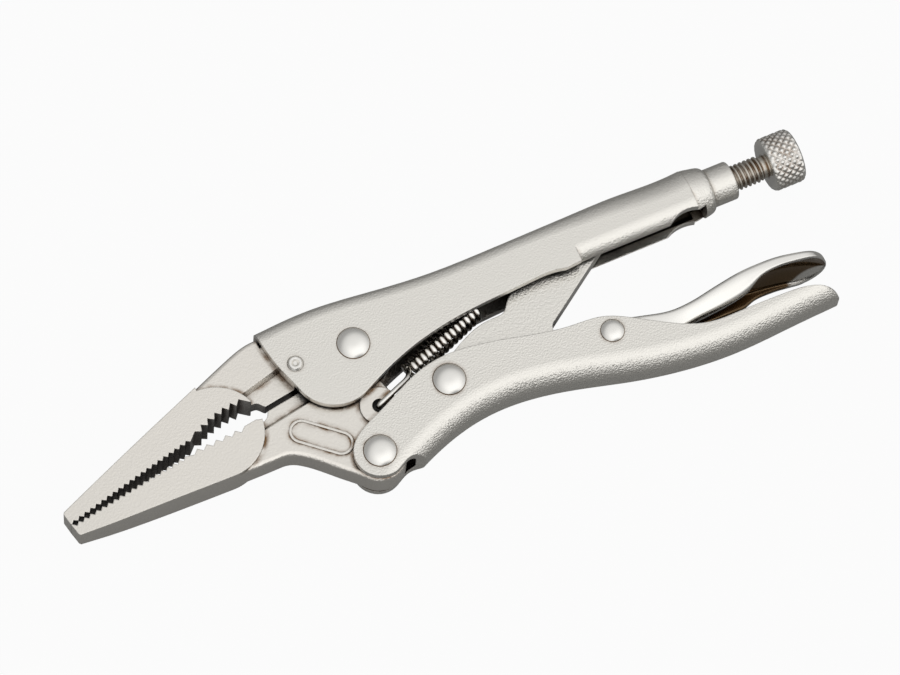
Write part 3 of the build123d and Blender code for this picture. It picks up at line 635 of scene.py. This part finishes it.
class PLIERS_OT_rivets(bpy.types.Operator):
    """Set the rivets, with heads that are flat in the middle and round at the rim"""

    bl_idname = "pliers.rivets"
    bl_label = "Rivets and pin"

    carried_by = {
        "main_pivot_rivet": "fixed_frame", "jaw_handle_rivet": "moving_handle",
        "link_rivet": "moving_handle", "release_lever_rivet": "moving_handle",
    }
    around = 64
    shares = (0.02, 0.12, 0.25, 0.38, 0.5, 0.6, 0.7, 0.78, 0.85, 0.91, 0.955, 1.0)
    bulge = 3.2
    shank_share = 0.6

    def profile(self, head, rise, half):
        """Radius and height from the far head's middle to the near head's middle."""
        near = [(share * head, half + rise * (1 - share**self.bulge)) for share in self.shares]
        far = [(radius, -height) for radius, height in near]
        shank = self.shank_share * head
        return far + [(shank, -half), (shank, half)] + near[::-1]

    def execute(self, context):
        finish = context.scene.pliers_finish
        smooth = plated_metal("Rivet nickel", finish.bright, 0.20)
        rim = plated_metal("Rivet rim", finish.rim, 0.35, residue_and_shade_level=0.9)
        wear(smooth, *cad("jaw_stake_pin"))
        cheek_low, cheek_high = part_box("upper_handle")
        half = (cheek_high.z - cheek_low.z) / 2
        turns = [2 * math.pi * k / self.around for k in range(self.around)]
        for name, body in self.carried_by.items():
            low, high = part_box(name)
            middle = (low + high) / 2
            rings = []
            for radius, height in self.profile((high.x - low.x) / 2, (high.z - low.z) / 2 - half, half):
                rings.append([
                    middle + Vector((radius * math.cos(turn), radius * math.sin(turn), height))
                    for turn in turns
                ])
            rivet = skin_rings("domed_" + name, rings)
            wear(smooth, rivet)
            rivet.data.materials.append(rim)
            outermost = (len(self.shares) - 2, len(rings) - len(self.shares))
            for face in rivet.data.polygons:
                if face.index // self.around in outermost:
                    face.material_index = 1
            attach(rivet, body)
            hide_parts(name)
        return {"FINISHED"}


class PLIERS_OT_thread(bpy.types.Operator):
    """Cut the thread on the adjusting screw"""

    bl_idname = "pliers.thread"
    bl_label = "Adjusting thread"

    around = 48
    steps_per_turn = 12
    relief_length = 1.0 * MM
    into_knob = 1.0 * MM
    relief_radius = 2.35 * MM
    lead_in = 0.9 * MM
    lead_start = 0.35       # share of the lead-in that the first turn already has
    lead_drop = 0.18        # share of the radius that the lead-in takes off
    crest_flat = 1.25       # above 1 the crests are flat

    def execute(self, context):
        sizes = context.scene.pliers_sizes
        finish = context.scene.pliers_finish
        low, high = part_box("adjusting_screw")
        knob_low, knob_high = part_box("adjusting_knob")
        crest = (high.y - low.y) / 2
        root = crest - sizes.thread_depth
        thread_end = knob_low.x - self.relief_length

        def radius_at(x, turn):
            if x > thread_end:
                return self.relief_radius
            phase = (x - low.x) / sizes.thread_pitch - turn / (2 * math.pi)
            rise = min(1.0, self.crest_flat * (1 - abs(2 * (phase % 1.0) - 1)))
            lead = min(1.0, (x - low.x) / self.lead_in + self.lead_start)
            fade = min(1.0, (thread_end - x) / (0.5 * sizes.thread_pitch))
            return (root + (crest - root) * rise * fade) * (1 - self.lead_drop * (1 - lead))

        step = sizes.thread_pitch / self.steps_per_turn
        count = int((knob_low.x + self.into_knob - low.x) / step)
        places = [low.x + step * n for n in range(count + 1)]
        rings = [turned_ring(x, radius_at, self.around) for x in places]
        screw = skin_rings("adjusting_thread", rings)
        # the corner colour darkens the thread's grooves as painted shade with brown residue
        steel = plated_metal("Screw steel", finish.dark_steel, 0.24, residue_and_shade_level=0.95, residue_and_shade_reach=0.5 * MM)
        wear(steel, screw)
        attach(screw, "screw")
        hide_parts("adjusting_screw")
        return {"FINISHED"}


class PLIERS_OT_knurl(bpy.types.Operator):
    """Knurl the adjusting knob with diamonds"""

    bl_idname = "pliers.knurl"
    bl_label = "Knurled knob"

    per_diamond = 10
    edge = 1.1 * MM
    front_cap = 2.6 * MM
    rear_cap = 2.0 * MM
    diamond_flat = 1.5      # above 1 the diamonds have flat tops

    def execute(self, context):
        sizes = context.scene.pliers_sizes
        finish = context.scene.pliers_finish
        low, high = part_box("adjusting_knob")
        outer = (high.y - low.y) / 2
        length = high.x - low.x
        around = sizes.knurl_rows * self.per_diamond
        lead = 2 * math.pi * outer / sizes.knurl_rows

        def diamond(x, turn):
            one = (sizes.knurl_rows * turn / (2 * math.pi) + (x - low.x) / lead) % 1.0
            two = (sizes.knurl_rows * turn / (2 * math.pi) - (x - low.x) / lead) % 1.0
            rise_one = 1 - abs(2 * one - 1)
            rise_two = 1 - abs(2 * two - 1)
            return min(1.0, self.diamond_flat * min(rise_one, rise_two))

        def radius_at(x, turn):
            from_end = min(x - low.x, high.x - x)
            if from_end < self.edge:
                drop = self.edge - from_end
                round_off = self.edge - math.sqrt(max(self.edge**2 - drop**2, 0.0))
                fade = from_end / self.edge
            else:
                round_off = 0.0
                fade = 1.0
            return outer - round_off - sizes.knurl_depth * fade * (1 - diamond(x, turn))

        steps = int(length / (lead / self.per_diamond))
        places = [low.x + length * n / steps for n in range(steps + 1)]
        rings = [turned_ring(low.x, lambda x, turn: self.front_cap, around)]
        rings += [turned_ring(x, radius_at, around) for x in places]
        rings += [turned_ring(high.x, lambda x, turn: self.rear_cap, around)]
        knob = skin_rings("knurled_knob", rings)
        # the corner colour darkens the knurl's grooves as painted shade with brown residue
        plate = plated_metal("Knurled nickel", finish.bright, 0.16, residue_and_shade_level=0.9, residue_and_shade_reach=0.5 * MM)
        wear(plate, knob)
        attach(knob, "knob")
        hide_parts("adjusting_knob")
        return {"FINISHED"}


class PLIERS_OT_spring(bpy.types.Operator):
    """Wind the return spring and hook its ends"""

    bl_idname = "pliers.spring"
    bl_label = "Return spring"

    per_turn = 28
    around = 12
    coil_start = (9.0, -8.3)
    coil_slope = 0.4
    least_span = 0.35 * MM
    stretch = ((6.0, -9.5), (27.0, -1.1))    # two places along the spring, in millimetres
    front_leg = ((-0.3, -13.75, -3.9), (-0.3, -13.75, 2.6), (-0.25, -13.7, 4.1), (0.7, -13.4, 4.45),
                 (4.4, -11.95, 4.40), (7.1, -10.7, 3.75), (8.2, -9.4, 2.75))
    rear_leg = ((27.0, 0.3, -1.75), (29.0, 0.6, -1.3), (33.5, 2.5, -0.2), (35.8, 2.7, 0.0),
                (37.6, 2.7, 0.0), (38.1, 2.7, 0.35), (38.2, 2.7, 1.9))

    def centre_line(self, sizes):
        """Points along the wire, from the front hook to the rear one."""
        along = Vector((1, self.coil_slope, 0)).normalized()
        upward = Vector((-along.y, along.x, 0))
        outward = Vector((0, 0, 1))
        start = at(*self.coil_start)
        line = [at(*point) for point in self.front_leg]
        count = self.per_turn * sizes.coil_turns
        first = -self.per_turn // 4
        for n in range(first, count + self.per_turn // 4):
            turn = 2 * math.pi * n / self.per_turn
            line.append(
                start + along * sizes.coil_pitch * n / self.per_turn
                + upward * sizes.coil_radius * math.cos(turn)
                - outward * sizes.coil_radius * math.sin(turn)
            )
        line += [at(*point) for point in self.rear_leg]
        return line

    def smooth_line(self, points, least):
        """The same line with its long spans filled by a smooth curve."""
        filled = [points[0]]
        for n in range(len(points) - 1):
            before = points[max(n - 1, 0)]
            start = points[n]
            end = points[n + 1]
            after = points[min(n + 2, len(points) - 1)]
            span = (end - start).length
            pieces = max(1, int(span / least))
            leave = (end - before) / max((end - before).length, 1e-9) * span
            arrive = (after - start) / max((after - start).length, 1e-9) * span
            for k in range(1, pieces + 1):
                filled.append(between(start, end, leave, arrive, k / pieces))
        return filled

    def execute(self, context):
        sizes = context.scene.pliers_sizes
        finish = context.scene.pliers_finish
        line = self.smooth_line(self.centre_line(sizes), self.least_span)
        rings = []
        side = Vector((1, 0, 0))
        for n, point in enumerate(line):
            ahead = line[min(n + 1, len(line) - 1)] - line[max(n - 1, 0)]
            ahead.normalize()
            side = (side - ahead * side.dot(ahead)).normalized()
            third = ahead.cross(side)
            rings.append([
                point + (side * math.cos(2 * math.pi * k / self.around)
                         + third * math.sin(2 * math.pi * k / self.around)) * sizes.wire_radius
                for k in range(self.around)
            ])
        spring = skin_rings("wound_spring", rings)
        # the corner colour here is painted shade in the gaps between the coils
        steel = plated_metal("Spring steel", finish.bright, 0.12, residue_and_shade_level=0.9, residue_and_shade_reach=0.7 * MM)
        wear(steel, spring)
        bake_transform(spring)
        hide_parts("return_spring")
        return {"FINISHED"}


class PLIERS_OT_stage(bpy.types.Operator):
    """Lay the pale floor and set the lamps and the camera"""

    bl_idname = "pliers.stage"
    bl_label = "Stage"

    # the camera's place in millimetres and its three directions
    camera_place = (-211.45, -341.12, 1067.74)
    camera_right = (0.91010, -0.41145, 0.04926)
    camera_up = (0.36910, 0.85893, 0.35497)
    camera_back = (-0.18836, -0.30488, 0.93358)
    # the tent: where its lamp and its low front stand, and how far each one reaches
    lamp_side = (0.188, -0.577, 0.794)
    front_side = (0.1, -0.99, 0.10)
    glow_limits = (-0.2, 0.64)
    core_limits = (0.50, 1.0)
    front_limits = (0.80, 0.99)
    floor_half = 1.5
    paper_share = 0.96      # the backdrop's white against the plain floor
    key_place = (0.03, -0.25, 0.8)

    def white_share(self, tree, stage):
        """How far a ray sees the plain white backdrop: the camera and glass see all
        of it, metal a part."""
        ray = add_node(tree, "ShaderNodeLightPath", (-700, 600))
        part = add_node(tree, "ShaderNodeMath", (-450, 500), operation="MULTIPLY")
        part.inputs[1].default_value = stage.metal_share
        tree.links.new(ray.outputs["Is Glossy Ray"], part.inputs[0])
        eye = add_node(tree, "ShaderNodeMath", (-450, 700), operation="MAXIMUM")
        tree.links.new(ray.outputs["Is Camera Ray"], eye.inputs[0])
        tree.links.new(ray.outputs["Is Transmission Ray"], eye.inputs[1])
        both = add_node(tree, "ShaderNodeMath", (-200, 600), operation="MAXIMUM")
        tree.links.new(eye.outputs[0], both.inputs[0])
        tree.links.new(part.outputs[0], both.inputs[1])
        return both.outputs[0]

    def set_camera(self, stage):
        camera = bpy.data.cameras.new("Camera")
        camera.lens = stage.lens
        camera.sensor_width = 36.0
        camera.clip_end = 10.0
        holder = bpy.data.objects.new("Camera", camera)
        bpy.context.scene.collection.objects.link(holder)
        turn = Matrix((self.camera_right, self.camera_up, self.camera_back)).transposed()
        holder.matrix_world = Matrix.Translation(Vector(self.camera_place) * MM) @ turn.to_4x4()
        bpy.context.scene.camera = holder

    def lay_floor(self, stage):
        half = self.floor_half
        floor = mesh_object(
            "floor", [(-half, -half, 0), (half, -half, 0), (half, half, 0), (-half, half, 0)],
            [(0, 1, 2, 3)],
        )
        paper = bpy.data.materials.new("Pale paper")
        paper.use_nodes = True
        tree = paper.node_tree
        shader = tree.nodes["Principled BSDF"]
        tone = stage.floor_tone
        shader.inputs["Base Color"].default_value = (tone, tone, tone * 0.97, 1)
        shader.inputs["Roughness"].default_value = 0.9
        shader.inputs["Specular IOR Level"].default_value = 0.1
        glow = add_node(tree, "ShaderNodeEmission", (0, -300))
        glow.inputs["Color"].default_value = (1, 1, 1, 1)
        glow.inputs["Strength"].default_value = 1.0
        white = self.white_share(tree, stage)
        share = add_node(tree, "ShaderNodeMath", (0, 300), operation="MULTIPLY")
        share.inputs[1].default_value = self.paper_share
        blend = add_node(tree, "ShaderNodeMixShader", (300, 0))
        tree.links.new(white, share.inputs[0])
        tree.links.new(share.outputs[0], blend.inputs["Fac"])
        tree.links.new(shader.outputs["BSDF"], blend.inputs[1])
        tree.links.new(glow.outputs["Emission"], blend.inputs[2])
        tree.links.new(blend.outputs[0], tree.nodes["Material Output"].inputs["Surface"])
        floor.data.materials.append(paper)

    def hang_lamp(self, name, place, aim, size, power):
        lamp = bpy.data.lights.new(name, "AREA")
        lamp.shape = "DISK"
        lamp.size = size
        lamp.energy = power
        holder = bpy.data.objects.new(name, lamp)
        holder.visible_glossy = False
        bpy.context.scene.collection.objects.link(holder)
        holder.location = place
        holder.rotation_euler = (Vector(aim) - Vector(place)).to_track_quat("-Z", "Y").to_euler()

    def light_room(self, stage):
        world = bpy.data.worlds.new("Room")
        bpy.context.scene.world = world
        world.use_nodes = True
        tree = world.node_tree
        background = tree.nodes["Background"]
        where = add_node(tree, "ShaderNodeTexCoord", (-1100, 0))
        facing = add_node(tree, "ShaderNodeVectorMath", (-900, 100), operation="DOT_PRODUCT")
        facing.inputs[1].default_value = self.lamp_side
        tree.links.new(where.outputs["Generated"], facing.inputs[0])
        towards = facing.outputs["Value"]
        glow = remap(tree, (-700, 100), towards, self.glow_limits,
                     (stage.tent_dark, stage.tent_bright), kind="SMOOTHSTEP")
        core = remap(tree, (-700, 350), towards, self.core_limits, (0.0, stage.tent_core), kind="SMOOTHSTEP")
        tent = add_node(tree, "ShaderNodeMath", (-500, 200), operation="ADD")
        tree.links.new(glow, tent.inputs[0])
        tree.links.new(core, tent.inputs[1])
        ahead = add_node(tree, "ShaderNodeVectorMath", (-900, -150), operation="DOT_PRODUCT")
        ahead.inputs[1].default_value = self.front_side
        tree.links.new(where.outputs["Generated"], ahead.inputs[0])
        skirt = remap(tree, (-700, -150), ahead.outputs["Value"], self.front_limits,
                      (1.0, stage.tent_front), kind="SMOOTHSTEP")
        level = multiply(tree, (-500, 0), tent.outputs[0], skirt)
        tone = add_node(tree, "ShaderNodeMix", (-250, 0), data_type="RGBA")
        tone.inputs["B"].default_value = (1, 1, 1, 1)
        tree.links.new(level, tone.inputs["A"])
        tree.links.new(self.white_share(tree, stage), tone.inputs["Factor"])
        tree.links.new(tone.outputs["Result"], background.inputs["Color"])
        background.inputs["Strength"].default_value = 1.0

    def execute(self, context):
        stage = context.scene.pliers_stage
        context.scene.view_settings.view_transform = "Standard"
        self.set_camera(stage)
        self.lay_floor(stage)
        self.light_room(stage)
        self.hang_lamp("Key", self.key_place, (0, 0, 0), stage.key_size, stage.key_power)
        return {"FINISHED"}


class PLIERS_PT_panel(bpy.types.Panel):
    """Lists the steps of the finish"""

    bl_idname = "PLIERS_PT_panel"
    bl_label = "Locking pliers"
    bl_space_type = "VIEW_3D"
    bl_region_type = "UI"
    bl_category = "Pliers"

    def draw(self, context):
        for step in STEPS:
            self.layout.operator(step.bl_idname)
        scene = context.scene
        for settings in (scene.pliers_sizes, scene.pliers_finish, scene.pliers_stage):
            for name in settings.bl_rna.properties.keys():
                if name not in ("rna_type", "name"):
                    self.layout.prop(settings, name)


STEPS = (
    PLIERS_OT_effects, PLIERS_OT_handles, PLIERS_OT_jaws, PLIERS_OT_lever, PLIERS_OT_rivets,
    PLIERS_OT_thread, PLIERS_OT_knurl, PLIERS_OT_spring, PLIERS_OT_stage,
)
CLASSES = (PliersSizes, PliersFinish, PliersStage, *STEPS, PLIERS_PT_panel)


def register():
    for kind in CLASSES:
        bpy.utils.register_class(kind)
    bpy.types.Scene.pliers_sizes = PointerProperty(type=PliersSizes)
    bpy.types.Scene.pliers_finish = PointerProperty(type=PliersFinish)
    bpy.types.Scene.pliers_stage = PointerProperty(type=PliersStage)


def unregister():
    del bpy.types.Scene.pliers_stage
    del bpy.types.Scene.pliers_finish
    del bpy.types.Scene.pliers_sizes
    for kind in reversed(CLASSES):
        bpy.utils.unregister_class(kind)


def main():
    register()
    bpy.ops.pliers.effects()
    bpy.ops.pliers.handles()
    bpy.ops.pliers.jaws()
    bpy.ops.pliers.lever()
    bpy.ops.pliers.rivets()
    bpy.ops.pliers.thread()
    bpy.ops.pliers.knurl()
    bpy.ops.pliers.spring()
    bpy.ops.pliers.stage()


if __name__ == "__main__":
    main()
